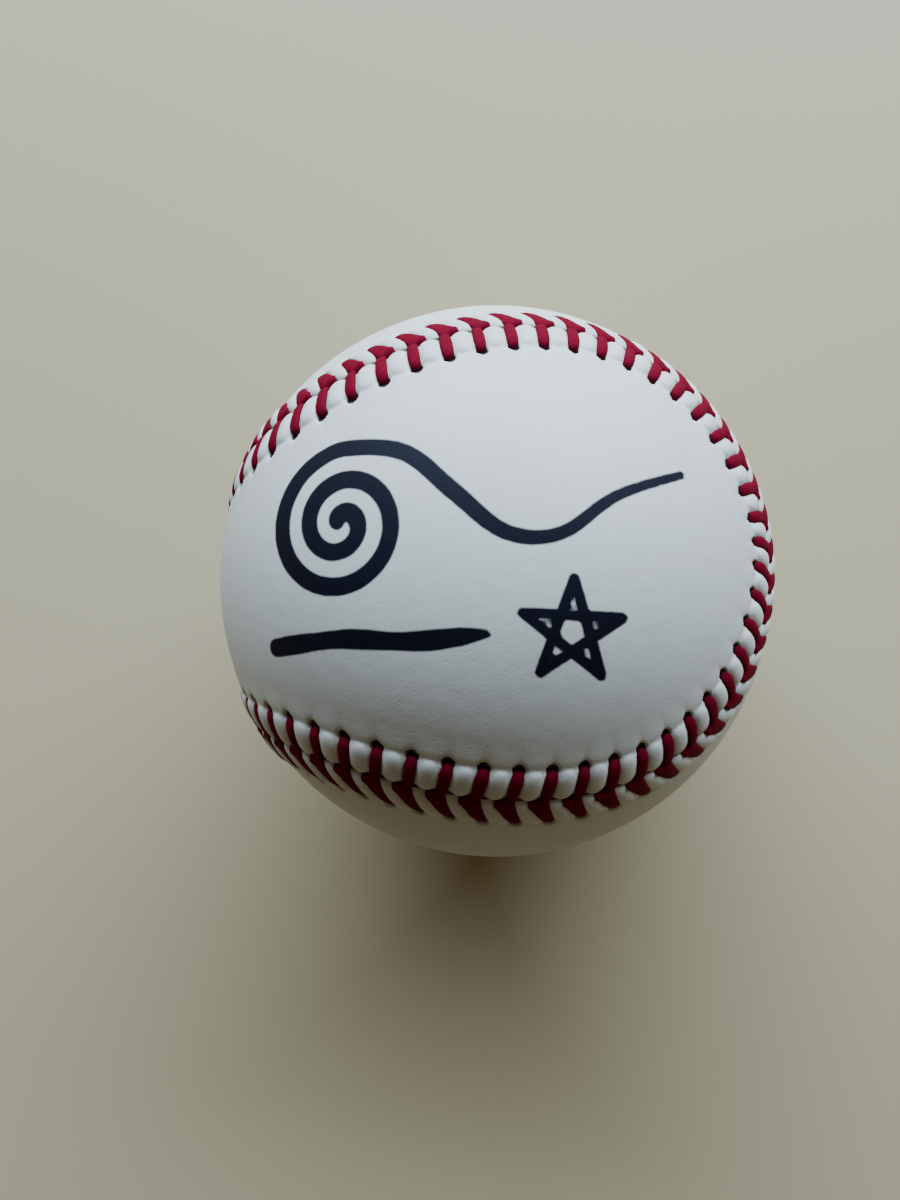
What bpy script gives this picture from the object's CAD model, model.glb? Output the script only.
import bpy
import numpy as np
from mathutils import Matrix, Vector


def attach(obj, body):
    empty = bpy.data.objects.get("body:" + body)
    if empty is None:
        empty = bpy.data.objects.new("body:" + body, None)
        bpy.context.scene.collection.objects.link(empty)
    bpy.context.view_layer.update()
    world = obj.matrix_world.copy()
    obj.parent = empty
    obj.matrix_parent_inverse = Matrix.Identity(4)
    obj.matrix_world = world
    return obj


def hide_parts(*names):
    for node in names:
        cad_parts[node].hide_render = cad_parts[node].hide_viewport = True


# A baseball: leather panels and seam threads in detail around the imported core. The scene is in
# metres. The seam's sizes are in millimetres, as in the part, and make_mesh turns them to metres.
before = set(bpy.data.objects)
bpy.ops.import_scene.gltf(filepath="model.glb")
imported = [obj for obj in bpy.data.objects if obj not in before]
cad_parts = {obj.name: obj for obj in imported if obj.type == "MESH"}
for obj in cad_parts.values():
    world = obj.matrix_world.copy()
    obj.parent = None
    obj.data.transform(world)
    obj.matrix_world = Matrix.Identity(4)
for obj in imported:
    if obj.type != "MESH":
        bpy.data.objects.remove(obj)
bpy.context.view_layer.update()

MM = 0.001

# The seam, as the part has it, in millimetres and stitches
BALL_RADIUS = 37.0
CEMENT_RADIUS = 35.75
LOBE_REACH = 0.395
STITCHES = 108
FIRST_HOLE = 0.05
HOLE_DISTANCE = 4.5
PANEL_B_HOLE = -0.20
PANEL_A_LEG = 0.10
PANEL_B_LEG = 0.34
SIDE_A = 1
SIDE_B = -1

# The photographer's camera: how far from the ball's centre, which way, and its lens
CAMERA_DISTANCE = 127.0 * MM
CAMERA_BACK = (0.0764, -0.0922, 0.9928)
CAMERA_UP = (0.1011, 0.9913, 0.0843)
CAMERA_LENS = 27.16
CAMERA_SENSOR = 36.0
CAMERA_SHIFT = (-0.0385, -0.0156)
CAMERA_CLIP = 5 * MM


# Camera

def make_camera():
    """A camera close above the ball, which sits a little right of the middle of the view."""
    data = bpy.data.cameras.new("camera")
    data.lens = CAMERA_LENS
    data.sensor_width = CAMERA_SENSOR
    data.shift_x, data.shift_y = CAMERA_SHIFT
    data.clip_start = CAMERA_CLIP
    camera = bpy.data.objects.new("camera", data)
    back = Vector(CAMERA_BACK).normalized()
    right = Vector(CAMERA_UP).cross(back).normalized()
    up = back.cross(right)
    turn = Matrix((right, up, back)).transposed().to_4x4()
    camera.matrix_world = Matrix.Translation(back * CAMERA_DISTANCE) @ turn
    bpy.context.collection.objects.link(camera)
    bpy.context.scene.camera = camera


make_camera()


# The seam's curve, on arrays of turns

FULL_TURN = 4 * np.pi
SEAM_SAMPLES = 8640
SMALL_TURN = 1e-4


def unit(vectors):
    """Vectors in the same directions, of length 1."""
    return vectors / np.linalg.norm(vectors, axis=-1, keepdims=True)


def seam_direction(turn):
    """Unit vectors from the ball's centre to the seam, for turns from 0 to FULL_TURN."""
    polar = np.pi / 2 - (np.pi / 2 - LOBE_REACH) * np.cos(turn)
    around = turn / 2 + LOBE_REACH * np.sin(2 * turn)
    across = np.sin(polar)
    return np.stack([np.cos(polar), -across * np.sin(around), across * np.cos(around)], -1)


TURNS = np.linspace(0, FULL_TURN, SEAM_SAMPLES + 1)
STEPS = np.linalg.norm(np.diff(seam_direction(TURNS), axis=0), axis=1)
TRAVELLED = np.concatenate([[0.0], np.cumsum(STEPS)])
PITCH = TRAVELLED[-1] * BALL_RADIUS / STITCHES


def stitch_turn(stitch):
    """The turn at places counted in stitches past panel A's first hole."""
    share = np.mod(np.asarray(stitch, float) + FIRST_HOLE, STITCHES) / STITCHES
    return np.interp(share * TRAVELLED[-1], TRAVELLED, TURNS)


def seam_frame(stitch):
    """Directions out of the ball, along the seam and across it towards panel A."""
    turn = stitch_turn(stitch)
    out = seam_direction(turn)
    along = unit(seam_direction(turn + SMALL_TURN) - seam_direction(turn - SMALL_TURN))
    return out, along, unit(np.cross(along, out))


def place(stitch, across, radius):
    """Points at a radius, off the seam by a distance measured on the ball's surface."""
    out, _, side = seam_frame(stitch)
    angle = np.asarray(across, float)[..., None] / BALL_RADIUS
    return (out * np.cos(angle) + side * np.sin(angle)) * np.asarray(radius, float)[..., None]


def smooth(low, high, value):
    """0 below low, 1 above high, and a smooth step between."""
    x = np.clip((value - low) / (high - low), 0, 1)
    return x * x * (3 - 2 * x)


# Mesh and material helpers

def make_mesh(name, points, faces, attributes):
    """A smooth-shaded object from points in millimetres, riding on the ball."""
    mesh = bpy.data.meshes.new(name)
    mesh.from_pydata((points * MM).tolist(), [], faces)
    mesh.validate()
    mesh.shade_smooth()
    for key, values in attributes.items():
        layer = mesh.attributes.new(key, "FLOAT", "POINT")
        layer.data.foreach_set("value", values.astype(np.float32))
    piece = bpy.data.objects.new(name, mesh)
    bpy.context.collection.objects.link(piece)
    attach(piece, "root")
    return piece


class Nodes:
    """A short way to write a material's nodes."""

    def __init__(self, name):
        self.material = bpy.data.materials.new(name)
        self.material.use_nodes = True
        self.tree = self.material.node_tree
        self.shader = self.tree.nodes["Principled BSDF"]

    def add(self, kind, links=None, **settings):
        node = self.tree.nodes.new(kind)
        for key, value in settings.items():
            setattr(node, key, value)
        for key, value in (links or {}).items():
            self.join(value, node.inputs[key])
        return node

    def join(self, value, socket):
        if isinstance(value, bpy.types.NodeSocket):
            self.tree.links.new(value, socket)
        else:
            socket.default_value = value

    def set(self, **values):
        for key, value in values.items():
            self.join(value, self.shader.inputs[key.replace("_", " ")])

    def coords(self):
        return self.add("ShaderNodeTexCoord").outputs["Object"]

    def attribute(self, name):
        return self.add("ShaderNodeAttribute", attribute_name=name).outputs["Fac"]

    def noise(self, scale, detail=4.0, roughness=0.5, distortion=0.0):
        links = {"Vector": self.coords(), "Scale": scale, "Detail": detail}
        links.update({"Roughness": roughness, "Distortion": distortion})
        return self.add("ShaderNodeTexNoise", links).outputs["Fac"]

    def cells(self, scale, feature="F1"):
        links = {"Vector": self.coords(), "Scale": scale}
        return self.add("ShaderNodeTexVoronoi", links, feature=feature).outputs["Distance"]

    def math(self, operation, first, second):
        return self.add("ShaderNodeMath", {0: first, 1: second}, operation=operation).outputs[0]

    def remap(self, value, low, high, to_low=0.0, to_high=1.0):
        links = {"Value": value, "From Min": low, "From Max": high}
        links.update({"To Min": to_low, "To Max": to_high})
        node = self.add("ShaderNodeMapRange", links, interpolation_type="SMOOTHSTEP")
        return node.outputs["Result"]

    def mix(self, share, first, second):
        links = {"Factor": share, 6: first, 7: second}
        return self.add("ShaderNodeMix", links, data_type="RGBA").outputs[2]

    def bump(self, height, distance, strength, normal=None):
        links = {"Height": height, "Distance": distance, "Strength": strength}
        if normal is not None:
            links["Normal"] = normal
        return self.add("ShaderNodeBump", links).outputs["Normal"]


# The leather's relief around the stitches: heights and distances from the crack, in mm

GROOVE_HALF_WIDTH = 0.58
BEAD_MIDDLE = 2.3
BEAD_HEIGHT = 0.54
BEAD_SIDE_POWER = 2.3
BEAD_END_POWER = 2.8
BEAD_TOP_POWER = 0.62
RIDGE_HEIGHT = 0.14
RIDGE_SLOPE = (4.8, 7.8)
VALLEY_DISTANCE = 4.85
VALLEY_WIDTH = 0.45
VALLEY_DEPTH = 0.03
LIP_SLOPE = (0.1, 0.6)
LIP_DEPTH = 0.40
PUCKER_WIDTH = 0.5
PUCKER_START = (4.7, 5.4)
PUCKER_END = (5.9, 7.6)
PUCKER_DEPTH = 0.05
HOLE_OFFSET = 0.08
HOLE_REACH_ALONG = 0.60
HOLE_REACH_ACROSS = 0.78
HOLE_DEPTH = 1.2
HOLE_WALL_POWER = 8
DIMPLE_SPREAD = 1.9
DIMPLE_DEPTH = 0.07

SWELL_WAVES = 9
SWELL_SEED = 7
SWELL_FREQUENCY = 4.0
SWELL_PHASE = 1.7
SWELL_HEIGHT = 0.012


def hole_place(side):
    """Where a panel's holes are along the seam, in stitches."""
    return 0.0 if side == SIDE_A else PANEL_B_HOLE


def leg_place(side):
    """Where a panel's threads go down the crack, in stitches."""
    return PANEL_A_LEG if side == SIDE_A else PANEL_B_LEG


def leg_middle(across, side):
    """Where a thread's middle is along the seam, in stitches, at a distance from the crack."""
    hole = hole_place(side)
    return hole + (leg_place(side) - hole) * np.clip(1 - across / HOLE_DISTANCE, 0, 1)


def swell(directions):
    """The slight unevenness of stretched leather, in mm, from a few seeded waves."""
    waves = np.random.default_rng(SWELL_SEED).normal(size=(SWELL_WAVES, 3)) * SWELL_FREQUENCY
    phases = np.arange(SWELL_WAVES) * SWELL_PHASE
    return SWELL_HEIGHT * np.sin(directions @ waves.T + phases).sum(-1)


def relief(stitch, across, side):
    """Radius of the leather's outside near the seam: beads between threads, and their holes."""
    past = (np.mod(stitch - leg_middle(across, side) + 0.5, 1.0) - 0.5) * PITCH
    half = PITCH / 2
    beside = np.clip((half - np.abs(past)) / (half - GROOVE_HALF_WIDTH), 0, 1)
    from_middle = np.clip(np.abs(across - BEAD_MIDDLE) / BEAD_MIDDLE, 0, 1)
    round_top = np.clip(1 - beside ** BEAD_SIDE_POWER - from_middle ** BEAD_END_POWER, 0, 1)
    bead = BEAD_HEIGHT * round_top ** BEAD_TOP_POWER
    ridge = RIDGE_HEIGHT * (1 - smooth(*RIDGE_SLOPE, across))
    valley = -VALLEY_DEPTH * np.exp(-((across - VALLEY_DISTANCE) / VALLEY_WIDTH) ** 2)
    lip = -LIP_DEPTH * (1 - smooth(*LIP_SLOPE, across)) * beside ** 2
    pucker = -PUCKER_DEPTH * np.exp(-(past / PUCKER_WIDTH) ** 2)
    pucker = pucker * smooth(*PUCKER_START, across) * (1 - smooth(*PUCKER_END, across))
    from_hole = across - HOLE_DISTANCE - HOLE_OFFSET
    pull = np.hypot(past / HOLE_REACH_ALONG, from_hole / HOLE_REACH_ACROSS)
    hole = -HOLE_DEPTH * np.exp(-pull ** HOLE_WALL_POWER)
    hole = hole - DIMPLE_DEPTH * np.exp(-(pull / DIMPLE_SPREAD) ** 2)
    return BALL_RADIUS + ridge + bead + valley + lip + pucker + hole


# The panels' meshes: rings of columns along the seam, closed across the lobes

# Distances of the outside's rings from the crack, closest where the relief changes fast
BAND = np.array([0.06, 0.16, 0.32, 0.52, 0.78, 1.1, 1.5, 1.95, 2.4, 2.85, 3.25, 3.6, 3.88, 4.1,
                 4.28, 4.45, 4.62, 4.8, 4.98, 5.18, 5.45, 5.85, 6.5, 7.4, 8.4])
BAND_EDGE = BAND[-1]
STRAIGHTENING_STARTS = 5.2
COLUMNS_PER_STITCH = 14
COLUMNS = STITCHES * COLUMNS_PER_STITCH

# The underside's rings, each a distance from the crack and a radius, with a channel for the thread
CHANNEL_ROOF = 36.62
CHANNEL_FOOT = 5.1
CHANNEL_TOP = 4.95
UNDER_LIP = 0.34
UNDERSIDE = [(UNDER_LIP, CHANNEL_ROOF), (CHANNEL_TOP, CHANNEL_ROOF),
             (CHANNEL_FOOT, CEMENT_RADIUS), (BAND_EDGE, CEMENT_RADIUS)]


def column_stitches(across, side):
    """Places along the seam of the grid's columns, which follow the threads near the crack."""
    even = np.arange(COLUMNS) / COLUMNS_PER_STITCH - FIRST_HOLE
    lead = leg_middle(HOLE_DISTANCE, side) + FIRST_HOLE
    nearest = np.round(lead * COLUMNS_PER_STITCH) / COLUMNS_PER_STITCH
    shift = leg_middle(across, side) + FIRST_HOLE - nearest
    return even + shift * (1 - smooth(STRAIGHTENING_STARTS, BAND_EDGE, across))


def outside_radius(directions):
    """Radius of the leather's outside across the lobes, away from the seam."""
    return BALL_RADIUS + swell(directions)


def inside_radius(directions):
    """Radius of the leather's inside, on the cement."""
    return np.full(directions.shape[:-1], CEMENT_RADIUS)


def ring_faces(rings):
    """Quads between each closed ring of vertices and the next."""
    faces = []
    for lower, upper in zip(rings, rings[1:]):
        quads = [lower, np.roll(lower, -1), np.roll(upper, -1), upper]
        faces += np.stack(quads, -1).tolist()
    return faces


def lobe_fill(rim, rim_points, tip, rows, radius, first):
    """Fill the rim with lines from each side of the lobes to the other, as points and faces."""
    half = COLUMNS // 2
    left = (tip + np.arange(1, half)) % COLUMNS
    right = (tip - np.arange(1, half)) % COLUMNS
    start, end = unit(rim_points[left]), unit(rim_points[right])
    angle = np.arccos(np.clip((start * end).sum(-1), -1, 1))[:, None, None]
    share = (np.arange(1, rows) / rows)[None, :, None]
    line = np.sin((1 - share) * angle) * start[:, None] + np.sin(share * angle) * end[:, None]
    line = unit(line)
    points = line * radius(line)[..., None]
    index = first + np.arange((half - 1) * (rows - 1)).reshape(half - 1, rows - 1)
    index = np.concatenate([rim[left][:, None], index, rim[right][:, None]], 1)
    quads = np.stack([index[:-1, :-1], index[1:, :-1], index[1:, 1:], index[:-1, 1:]], -1)
    faces = quads.reshape(-1, 4).tolist()
    near_tip, far_tip = rim[tip], rim[(tip + half) % COLUMNS]
    faces += [(near_tip, one, two) for one, two in zip(index[0], index[0][1:])]
    faces += [(far_tip, two, one) for one, two in zip(index[-1], index[-1][1:])]
    return points.reshape(-1, 3), faces


def flipped(faces):
    """The same faces, turned to look the other way."""
    return [face[::-1] for face in faces]


def leather_points(side, tip, rows_outside, rows_inside):
    """Points and faces of one panel: a closed skin with the stitched relief along its edge."""
    points, count = [], 0

    def add(more):
        nonlocal count
        points.append(more)
        count += len(more)
        return count - len(more) + np.arange(len(more))

    def add_ring(across, radius=None):
        stitch = column_stitches(across, side)
        distance = np.full(COLUMNS, across)
        ring = place(stitch, side * distance, np.ones(COLUMNS))
        height = np.full(COLUMNS, radius) if radius else relief(stitch, distance, side) + swell(ring)
        return add(ring * height[:, None])

    lip = add_ring(*UNDERSIDE[0])
    top = [lip] + [add_ring(across) for across in BAND]
    outer_lobes, outer_faces = lobe_fill(top[-1], points[-1], tip, rows_outside, outside_radius, count)
    add(outer_lobes)
    under = [lip] + [add_ring(*across_and_radius) for across_and_radius in UNDERSIDE[1:]]
    inner_lobes, inner_faces = lobe_fill(under[-1], points[-1], tip, rows_inside, inside_radius, count)
    add(inner_lobes)
    faces = ring_faces(top) + outer_faces + flipped(ring_faces(under) + inner_faces)
    if side == SIDE_B:
        faces = flipped(faces)
    return np.concatenate(points), faces


# The marker flourish: a curl with a long tail, a line under it and a star, seen from above

STROKE_HALF_WIDTH = 1.2
FLOURISH_TILT = np.radians(-8)
CURL_MIDDLE = (-13.5, 2.6)
CURL_TURNS = (0.15, 4.5)
CURL_START = 0.2
CURL_GROWTH = 0.58
CURL_POINTS = 34
CURL_TAIL = [(-7.0, 10.2), (-1.5, 6.0), (4.0, 2.0), (9.5, 2.2), (15.0, 6.6), (22.0, 10.0)]
UNDERLINE = [(-21.5, -10.6), (-13.0, -9.4), (-5.0, -9.3), (2.5, -8.2)]
STAR_MIDDLE = (11.0, -7.6)
STAR_RADIUS = 5.3
STAR_TIPS = 5
POINTS_PER_CURL_SPAN = 6
POINTS_PER_LINE_SPAN = 14
START_TAPER = 8
END_TAPER = 5
WOBBLE = 0.06
WOBBLE_TURNS = 19

# Ink is drawn only above this height, and points that have none count as this far from it
FLOURISH_LOWEST = 12.0
NO_INK = 6.0


def smooth_line(corners, per_span):
    """A Catmull-Rom curve through the corners."""
    p = np.array(corners, float)
    p = np.concatenate([[2 * p[0] - p[1]], p, [2 * p[-1] - p[-2]]])
    t = np.linspace(0, 1, per_span, endpoint=False)[:, None]
    spans = []
    for a, b, c, d in zip(p, p[1:], p[2:], p[3:]):
        spans.append(0.5 * (2 * b + (c - a) * t + (2 * a - 5 * b + 4 * c - d) * t ** 2
                            + (3 * b - a - 3 * c + d) * t ** 3))
    return np.concatenate(spans + [p[-2][None]])


def stroke(path, scale, start, end):
    """A pen's path with its half-widths, which taper to a share at its start and its end."""
    share = np.linspace(0, 1, len(path))
    wide = np.minimum(start + START_TAPER * share, end + END_TAPER * (1 - share)).clip(0, 1)
    wide = wide * (1 + WOBBLE * np.sin(share * WOBBLE_TURNS))
    return path, STROKE_HALF_WIDTH * scale * wide


def flourish_strokes():
    """The curl with its tail, the underline and the star."""
    turn = np.linspace(*CURL_TURNS, CURL_POINTS) * np.pi
    reach = CURL_START + CURL_GROWTH * turn
    curl = np.stack([-reach * np.cos(turn), reach * np.sin(turn)], -1) + CURL_MIDDLE
    wave = smooth_line(np.concatenate([curl, CURL_TAIL]), POINTS_PER_CURL_SPAN)
    line = smooth_line(UNDERLINE, POINTS_PER_LINE_SPAN)
    corners = np.pi / 2 + np.arange(STAR_TIPS + 1) * 4 * np.pi / STAR_TIPS
    star = STAR_MIDDLE + STAR_RADIUS * np.stack([np.cos(corners), np.sin(corners)], -1)
    return [stroke(wave, 0.84, 0.9, 0.5), stroke(line, 0.86, 1.0, 0.45), stroke(star, 0.48, 1, 1)]


def ink_distance(points):
    """Distance from each point to the edge of the flourish, in mm, below 0 inside its ink."""
    result = np.full(len(points), NO_INK)
    near = np.flatnonzero(points[:, 2] > FLOURISH_LOWEST)
    cos, sin = np.cos(FLOURISH_TILT), np.sin(FLOURISH_TILT)
    flat = points[near][:, :2] @ np.array([[cos, -sin], [sin, cos]])
    best = np.full(len(near), NO_INK)
    for path, widths in flourish_strokes():
        for a, b, wide, next_wide in zip(path, path[1:], widths, widths[1:]):
            step = b - a
            t = np.clip(((flat - a) @ step) / (step @ step), 0, 1)
            gap = np.linalg.norm(flat - a - t[:, None] * step, axis=1)
            best = np.minimum(best, gap - wide - t * (next_wide - wide))
    result[near] = best
    return result


# The seam's thread

# One stitch from its hole to the crack: share of the leg, distance across, radius, half-width
# and half-thickness. Panel B's leg spreads as it nears the crack.
LEG_A = [
    (0.00, 4.36, 36.15, 0.42, 0.36), (0.00, 4.28, 36.66, 0.54, 0.34), (0.02, 4.02, 37.02, 0.64, 0.31),
    (0.15, 3.40, 37.28, 0.70, 0.28), (0.45, 2.35, 37.37, 0.71, 0.28), (0.75, 1.20, 37.37, 0.67, 0.28),
    (0.93, 0.42, 37.30, 0.62, 0.28), (1.00, 0.14, 37.00, 0.56, 0.30), (1.00, 0.02, 36.35, 0.40, 0.34),
]
LEG_B = [
    (0.00, 4.36, 36.15, 0.38, 0.34), (0.00, 4.32, 36.66, 0.46, 0.33), (0.02, 4.10, 37.02, 0.56, 0.31),
    (0.15, 3.48, 37.28, 0.70, 0.28), (0.40, 2.40, 37.38, 0.88, 0.27), (0.68, 1.20, 37.38, 1.04, 0.27),
    (0.88, 0.46, 37.31, 1.14, 0.27), (1.00, 0.14, 37.02, 0.92, 0.28), (1.00, 0.02, 36.35, 0.40, 0.32),
]
UNDER_KEY = (36.10, 0.40, 0.36)

# How much the thread's width varies from stitch to stitch
SLACK = 0.06
SLACK_WAVES = (2.4, 0.9)

RINGS_PER_KEY = 4
THREAD_SIDES = 14
THREAD_ROUNDNESS = 0.85
PLIES = 3
PLY_LAY = 3.4
PLY_VALLEY = 0.98
PLY_HEIGHT = 0.045


def thread_keys(side, stitch):
    """Places of one stitch: stitch, distance across, radius, half-width and half-thickness."""
    hole = stitch + hole_place(side)
    leg = stitch + leg_place(side)
    slack = 1 + SLACK * np.sin(stitch * SLACK_WAVES[0]) * np.cos(stitch * SLACK_WAVES[1])
    return [(hole + (leg - hole) * share, side * across, radius, wide * slack, thick)
            for share, across, radius, wide, thick in (LEG_A if side == SIDE_A else LEG_B)]


def strand_keys(first_side):
    """All the places of one strand, in order round the ball, with one between stitches."""
    keys = []
    for stitch in range(STITCHES):
        side = first_side if stitch % 2 == 0 else -first_side
        ahead = thread_keys(side, stitch)
        if keys:
            last, following = keys[-1], ahead[0]
            keys.append(((following[0] + last[0]) / 2, (following[1] + last[1]) / 2, *UNDER_KEY))
        keys += ahead
    return np.array(keys)


def softened(wave):
    """A wave with blunter tops, which squares a round section a little."""
    return np.sign(wave) * np.abs(wave) ** THREAD_ROUNDNESS


def make_thread(name, first_side):
    """One strand: a flattened, twisted thread along its real route, closed at both ends."""
    keys = strand_keys(first_side)
    centre = smooth_line(place(keys[:, 0], keys[:, 1], keys[:, 2]), RINGS_PER_KEY)
    stitch, _, radius, wide, thick = smooth_line(keys, RINGS_PER_KEY).T
    tangent = unit(np.gradient(centre, axis=0))
    along = seam_frame(stitch)[1]
    across = unit(along - (along * tangent).sum(-1, keepdims=True) * tangent)
    normal = np.cross(tangent, across)
    steps = np.linalg.norm(np.diff(centre, axis=0), axis=1)
    travelled = np.concatenate([[0], np.cumsum(steps)])
    angle = np.arange(THREAD_SIDES) / THREAD_SIDES * 2 * np.pi
    twist = PLIES * (angle[None] - travelled[:, None] / PLY_LAY * 2 * np.pi)
    ply = PLY_VALLEY + PLY_HEIGHT * np.abs(np.cos(twist / 2))
    sideways = wide[:, None] * softened(np.cos(angle)) * ply
    upwards = thick[:, None] * softened(np.sin(angle)) * ply
    points = centre[:, None] + across[:, None] * sideways[..., None]
    points = points + normal[:, None] * upwards[..., None]
    rings = np.arange(len(centre) * THREAD_SIDES).reshape(len(centre), THREAD_SIDES)
    faces = ring_faces(rings)
    faces.append(rings[0][::-1].tolist())
    faces.append(rings[-1].tolist())
    level = np.repeat(radius, THREAD_SIDES)
    attributes = {"level": level, "ply": (np.cos(twist) * 0.5 + 0.5).reshape(-1)}
    return make_mesh(name, points.reshape(-1, 3), faces, attributes)


# Materials

def leather_material():
    """White tanned leather: pores, faint creases, dark stitch holes, and marker ink."""
    m = Nodes("leather")
    cloud = m.noise(38, 3, 0.5)
    grime = m.remap(m.noise(150, 5, 0.65), 0.52, 0.8)
    base = m.mix(cloud, (0.54, 0.525, 0.46, 1), (0.60, 0.577, 0.495, 1))
    base = m.mix(m.math("MULTIPLY", grime, 0.25), base, (0.45, 0.44, 0.36, 1))
    in_hole = m.remap(m.attribute("depth"), 0.08, 0.38, 0.0, 0.97)
    base = m.mix(in_hole, base, (0.014, 0.011, 0.010, 1))
    feather = m.math("MULTIPLY", m.math("SUBTRACT", m.noise(900, 4, 0.6), 0.5), 0.14)
    edge = m.math("ADD", m.attribute("ink"), feather)
    inked = m.remap(edge, -0.14, 0.14, 1.0, 0.0)
    streak = m.noise(420, 3, 0.6, distortion=0.4)
    ink = m.mix(streak, (0.0012, 0.0014, 0.005, 1), (0.003, 0.0035, 0.011, 1))
    normal = m.bump(m.remap(m.cells(1500), 0.0, 0.35), 0.00003, 0.35)
    normal = m.bump(m.cells(620, "SMOOTH_F1"), 0.00005, 0.35, normal)
    normal = m.bump(m.noise(260, 6, 0.62), 0.00012, 0.35, normal)
    m.set(Base_Color=m.mix(inked, base, ink), Roughness=m.remap(inked, 0, 1, 0.48, 0.66))
    m.set(Normal=normal, Specular_IOR_Level=0.14)
    return m.material


def thread_material():
    """Waxed crimson thread: plies, fine fibres, darker where it goes into the leather."""
    m = Nodes("seam_thread")
    red = m.mix(m.noise(210, 3, 0.5), (0.110, 0.0008, 0.008, 1), (0.145, 0.0012, 0.012, 1))
    between_plies = m.remap(m.attribute("ply"), 0.0, 0.5, 0.4, 0.0)
    red = m.mix(between_plies, red, (0.060, 0.0005, 0.009, 1))
    fibre = m.remap(m.noise(2600, 4, 0.7), 0.55, 0.8, 0.0, 0.3)
    red = m.mix(fibre, red, (0.165, 0.004, 0.018, 1))
    in_hole = m.remap(m.attribute("level"), 36.5, 37.12, 0.92, 0.0)
    red = m.mix(in_hole, red, (0.02, 0.003, 0.006, 1))
    normal = m.bump(m.noise(1700, 5, 0.7), 0.00004, 0.5)
    m.set(Base_Color=red, Roughness=0.7, Normal=normal, Specular_IOR_Level=0.03)
    return m.material


def rubber_material(name, dark, light):
    """Moulded rubber with fine speckle and a matt skin."""
    m = Nodes(name)
    speck = m.remap(m.noise(1400, 5, 0.7), 0.45, 0.7)
    normal = m.bump(m.noise(900, 5, 0.6), 0.00008, 0.4)
    m.set(Base_Color=m.mix(speck, dark, light), Roughness=0.62, Normal=normal)
    return m.material


def cork_material():
    """Pressed cork granules bound with dark rubber."""
    m = Nodes("cork_core")
    granule = m.cells(700)
    base = m.mix(m.noise(480, 2, 0.5), (0.36, 0.20, 0.10, 1), (0.62, 0.42, 0.25, 1))
    base = m.mix(m.remap(granule, 0.45, 0.75), base, (0.06, 0.035, 0.025, 1))
    m.set(Base_Color=base, Roughness=0.85, Normal=m.bump(granule, 0.0003, 0.5))
    return m.material


def yarn_material(name, dark, light, scale):
    """Wound yarn: crossing bands of fine strands with loose fibres."""
    m = Nodes(name)
    wander = m.add("ShaderNodeTexNoise", {"Vector": m.coords(), "Scale": 60.0}).outputs["Color"]
    wander = m.add("ShaderNodeVectorMath", {0: wander, "Scale": 0.012}, operation="SCALE").outputs[0]
    spot = m.add("ShaderNodeVectorMath", {0: m.coords(), 1: wander}, operation="ADD").outputs[0]
    bands = []
    for turn in ((0.6, 0.2, 0.1), (-0.7, 0.9, 0.4), (0.2, -0.8, 1.3)):
        spun = m.add("ShaderNodeMapping", {"Vector": spot, "Rotation": turn}).outputs[0]
        links = {"Vector": spun, "Scale": scale, "Distortion": 1.2}
        bands.append(m.add("ShaderNodeTexWave", links).outputs["Fac"])
    pick = m.remap(m.noise(45, 2), 0.48, 0.52)
    links = {"Factor": pick, 2: bands[0], 3: bands[1]}
    height = m.add("ShaderNodeMix", links, data_type="FLOAT").outputs[0]
    strands = m.math("MAXIMUM", height, m.math("MULTIPLY", bands[2], 0.8))
    fluff = m.noise(2200, 5, 0.75)
    tone = m.math("ADD", m.math("MULTIPLY", strands, 0.7), m.math("MULTIPLY", fluff, 0.3))
    normal = m.bump(tone, 0.0004, 0.7)
    m.set(Base_Color=m.mix(tone, dark, light), Roughness=0.9, Normal=normal, Sheen_Weight=0.4)
    return m.material


def cement_material():
    """A thin, tacky, slightly yellow rubber coat."""
    m = Nodes("cement_coat")
    base = m.mix(m.noise(120, 4), (0.62, 0.50, 0.27, 1), (0.80, 0.70, 0.47, 1))
    m.set(Base_Color=base, Roughness=0.35, Normal=m.bump(m.noise(500, 4), 0.0001, 0.5))
    return m.material


def finish_core():
    """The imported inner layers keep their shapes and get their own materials."""
    black = rubber_material("black_rubber", (0.012, 0.012, 0.013, 1), (0.035, 0.035, 0.037, 1))
    red = rubber_material("red_rubber", (0.30, 0.03, 0.02, 1), (0.42, 0.06, 0.04, 1))
    grey = yarn_material("grey_wool", (0.13, 0.14, 0.16, 1), (0.42, 0.43, 0.46, 1), 900)
    white = yarn_material("white_wool", (0.55, 0.53, 0.48, 1), (0.86, 0.84, 0.79, 1), 900)
    cotton = yarn_material("white_cotton", (0.62, 0.60, 0.54, 1), (0.90, 0.88, 0.83, 1), 1500)
    materials = {
        "cork_core": cork_material(), "core_shell_upper": black, "core_shell_lower": black,
        "core_gasket": red, "pill_jacket": red, "first_winding": grey, "second_winding": white,
        "third_winding": grey, "finishing_winding": cotton, "cement_coat": cement_material(),
    }
    for node, material in materials.items():
        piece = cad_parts[node]
        piece.data.materials.clear()
        piece.data.materials.append(material)


# The pieces

# Rows of points across the lobes, outside and inside; the inked panel has more outside
ROWS_INKED = 62
ROWS_PLAIN = 40
ROWS_INSIDE = 6

# How far below the ball's own surface the leather starts to look dark, and the most counted
DARK_STARTS = 0.05
DARK_MOST = 2

# Each strand of thread, the CAD node that it stands for and the panel that it starts on
STRANDS = [("thread_strand_a", "seam_thread_a", SIDE_A), ("thread_strand_b", "seam_thread_b", SIDE_B)]


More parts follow.
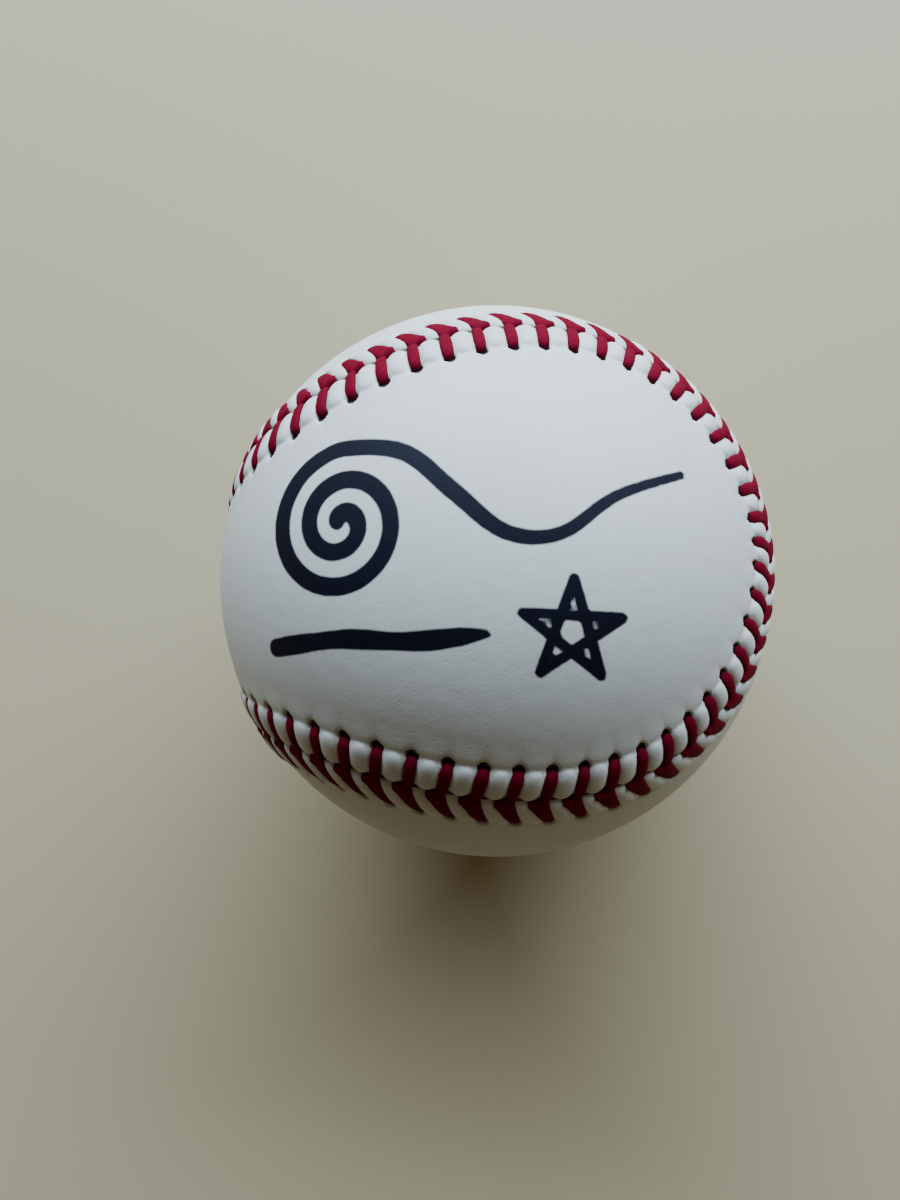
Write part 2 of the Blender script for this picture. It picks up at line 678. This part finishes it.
def make_panel(name, side, tip, rows_outside):
    """One leather panel in place of its CAD node."""
    points, faces = leather_points(side, tip, rows_outside, ROWS_INSIDE)
    radius = np.linalg.norm(points, axis=1)
    depth = np.clip(BALL_RADIUS - DARK_STARTS - radius, 0, DARK_MOST)
    ink = ink_distance(points) if side == SIDE_A else np.full(len(points), NO_INK)
    piece = make_mesh(name, points, faces, {"depth": depth, "ink": ink})
    return piece


leather = leather_material()
panel_a = make_panel("leather_panel_a", SIDE_A, 0, ROWS_INKED)
panel_a.data.materials.append(leather)
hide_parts("cover_panel_a")
panel_b = make_panel("leather_panel_b", SIDE_B, COLUMNS // 4, ROWS_PLAIN)
panel_b.data.materials.append(leather)
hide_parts("cover_panel_b")

red_thread = thread_material()
for name, node, first_side in STRANDS:
    strand = make_thread(name, first_side)
    strand.data.materials.append(red_thread)
    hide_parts(node)

finish_core()


# Floor and light

FLOOR_REACH = 1.5
FLOOR_COLOUR = (0.415, 0.325, 0.176, 1)
DAYLIGHT = (0.575, 0.75, 1.0)
ROOM_COLOUR = (1.0, 0.82, 0.53, 1)
ROOM_STRENGTH = 0.112


def make_floor():
    """A plain pale floor under the ball."""
    mesh = bpy.data.meshes.new("floor")
    reach, level = FLOOR_REACH, -BALL_RADIUS * MM
    corners = [(-reach, -reach, level), (reach, -reach, level),
               (reach, reach, level), (-reach, reach, level)]
    mesh.from_pydata(corners, [], [(0, 1, 2, 3)])
    floor = bpy.data.objects.new("floor", mesh)
    bpy.context.collection.objects.link(floor)
    m = Nodes("floor")
    m.set(Base_Color=FLOOR_COLOUR, Roughness=0.7)
    mesh.materials.append(m.material)


def area_light(name, place_at, width, height, power):
    """A soft, wide light that faces the ball, from a place in metres and with a power in watts."""
    data = bpy.data.lights.new(name, "AREA")
    data.shape = "RECTANGLE"
    data.size = width
    data.size_y = height
    data.energy = power
    data.color = DAYLIGHT
    light = bpy.data.objects.new(name, data)
    light.location = place_at
    light.rotation_euler = (-Vector(place_at)).to_track_quat("-Z", "Y").to_euler()
    bpy.context.collection.objects.link(light)


def room_light():
    """A weak warm light from all round."""
    world = bpy.data.worlds.new("world")
    world.use_nodes = True
    background = world.node_tree.nodes["Background"]
    background.inputs["Color"].default_value = ROOM_COLOUR
    background.inputs["Strength"].default_value = ROOM_STRENGTH
    bpy.context.scene.world = world


make_floor()
area_light("key", (0.19, 0.78, 0.53), 1.60, 0.40, 42.5)
area_light("low", (0.20, 0.85, 0.20), 1.10, 0.36, 12.0)
room_light()
